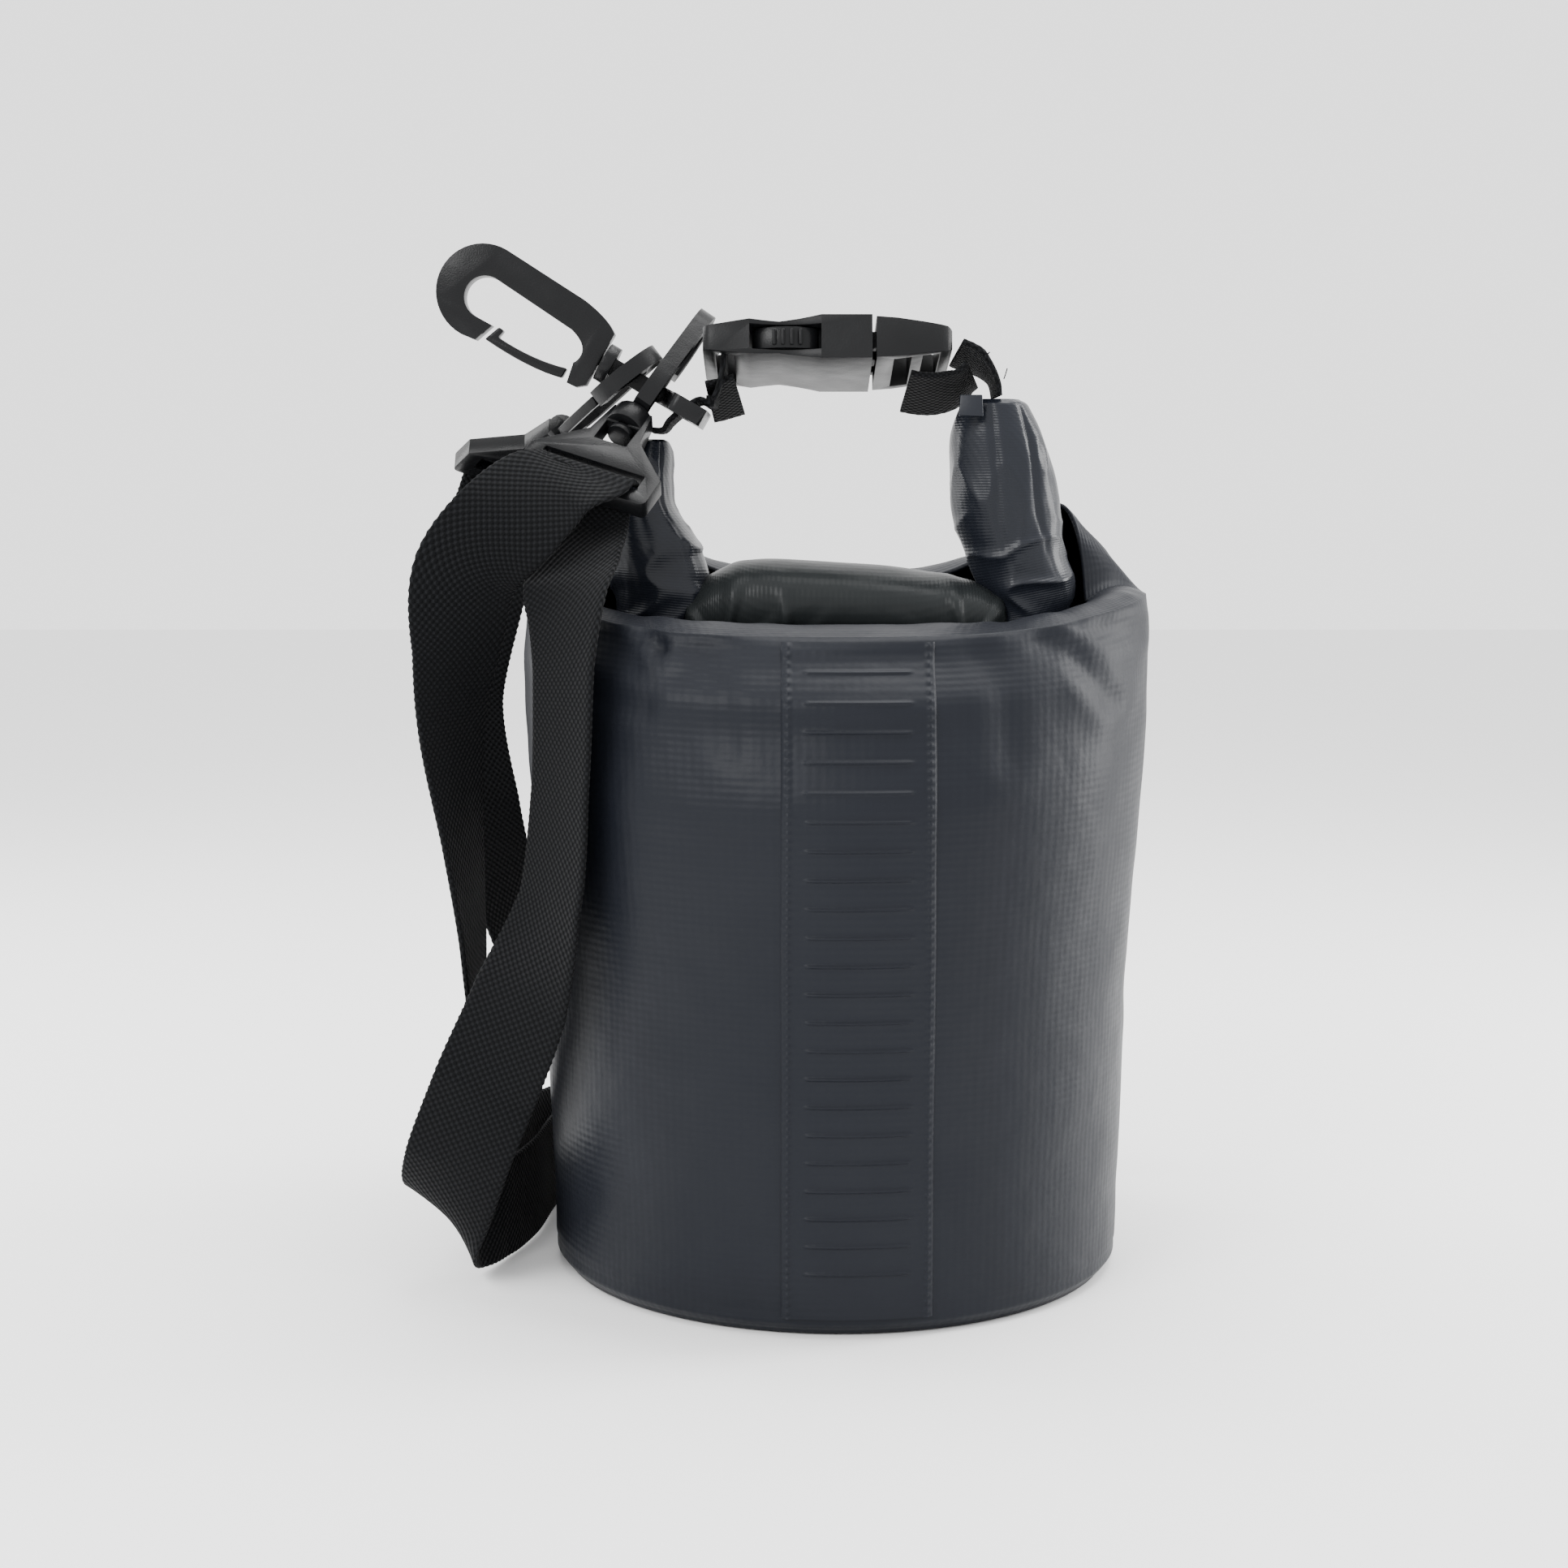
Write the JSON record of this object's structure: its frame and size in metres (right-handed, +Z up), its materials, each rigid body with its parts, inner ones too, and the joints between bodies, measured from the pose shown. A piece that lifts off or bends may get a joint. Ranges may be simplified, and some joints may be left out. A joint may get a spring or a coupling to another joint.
{
  "type": "roll-top storage bag",
  "caption": "Small roll-top waterproof storage bag for rope, closed by a side-release buckle that makes a handle, with a swivel carry hook and a clip-on shoulder strap.",
  "frame": {"origin": "centre of the base disc's underside, where the bag stands", "axes": "+Z up, the seam strip faces -Y, +X towards the buckle's plug"},
  "size_m": [0.1813, 0.1765, 0.2474],
  "materials": {
    "tarpaulin": "satin coated cloth",
    "plastic": "satin moulded",
    "webbing": "woven webbing"
  },
  "bodies": {
    "bag": {"bag_shell": "tarpaulin", "base_disc": "tarpaulin", "base_weld_band": "tarpaulin", "seam_strip": "tarpaulin", "mouth_roll": "tarpaulin", "mouth_stiffener": "plastic", "roll_arm_left": "tarpaulin", "roll_arm_right": "tarpaulin", "buckle_housing": "plastic", "handle_webbing_left": "webbing", "handle_webbing_right": "webbing", "carry_hook_base": "plastic", "front_hook_base": "plastic", "rear_hook_base": "plastic", "strap_front_run": "webbing", "strap_return_run": "webbing", "strap_rear_run": "webbing"},
    "plug": {"buckle_plug": "plastic"},
    "latch_front": {"latch_front": "plastic"},
    "latch_rear": {"latch_rear": "plastic"},
    "carry_hook": {"carry_hook_body": "plastic"},
    "carry_hook_gate": {"carry_hook_gate": "plastic"},
    "front_hook": {"front_hook_body": "plastic"},
    "front_hook_gate": {"front_hook_gate": "plastic"},
    "rear_hook": {"rear_hook_body": "plastic"},
    "rear_hook_gate": {"rear_hook_gate": "plastic"},
    "slider": {"strap_slider": "plastic"}
  },
  "joints": [
    {"name": "plug_release", "type": "slide", "parent": "bag", "child": "plug", "axis": [1, 0, 0], "range_m": [0, 0.03], "deforming": ["latch_front", "latch_rear", "handle_webbing_right"]},
    {"name": "latch_front_press", "type": "hinge", "parent": "plug", "child": "latch_front", "pos_m": [0.0025, -0.01117, 0.22377], "axis": [0, -0.1994, -0.9799], "range_deg": [0, 7], "stiffness_Nm_per_rad": 0.5},
    {"name": "latch_rear_press", "type": "hinge", "parent": "plug", "child": "latch_rear", "pos_m": [0.0025, 0.01117, 0.21923], "axis": [0, 0.1994, 0.9799], "range_deg": [0, 7], "stiffness_Nm_per_rad": 0.5},
    {"name": "carry_hook_swivel", "type": "hinge", "parent": "bag", "child": "carry_hook", "pos_m": [-0.057, 0, 0.22], "axis": [-0.866, 0, 0.5], "continuous": true},
    {"name": "carry_hook_gate_open", "type": "hinge", "parent": "carry_hook", "child": "carry_hook_gate", "pos_m": [-0.06609, 0, 0.21705], "axis": [0, 1, 0], "range_deg": [0, 20], "stiffness_Nm_per_rad": 0.1},
    {"name": "front_hook_swivel", "type": "hinge", "parent": "bag", "child": "front_hook", "pos_m": [-0.04843, -0.00769, 0.20647], "axis": [0.4175, 0.6633, 0.621], "range_deg": [-1, 10]},
    {"name": "front_hook_gate_open", "type": "hinge", "parent": "front_hook", "child": "front_hook_gate", "pos_m": [-0.04839, 0.00063, 0.20652], "axis": [0.8299, 0, -0.558], "range_deg": [0, 14], "stiffness_Nm_per_rad": 0.1},
    {"name": "rear_hook_swivel", "type": "hinge", "parent": "bag", "child": "rear_hook", "pos_m": [-0.06687, 0.01878, 0.20363], "axis": [0.5676, -0.6969, 0.4383], "range_deg": [-1, 20]},
    {"name": "rear_hook_gate_open", "type": "hinge", "parent": "rear_hook", "child": "rear_hook_gate", "pos_m": [-0.06712, 0.01047, 0.20344], "axis": [-0.6112, 0, 0.7915], "range_deg": [0, 16], "stiffness_Nm_per_rad": 0.1},
    {"name": "slider_slide", "type": "slide", "parent": "bag", "child": "slider", "axis": [1, 0, 0], "range_m": [0, 0.02], "deforming": ["strap_front_run", "strap_return_run", "strap_rear_run"]}
  ]
}
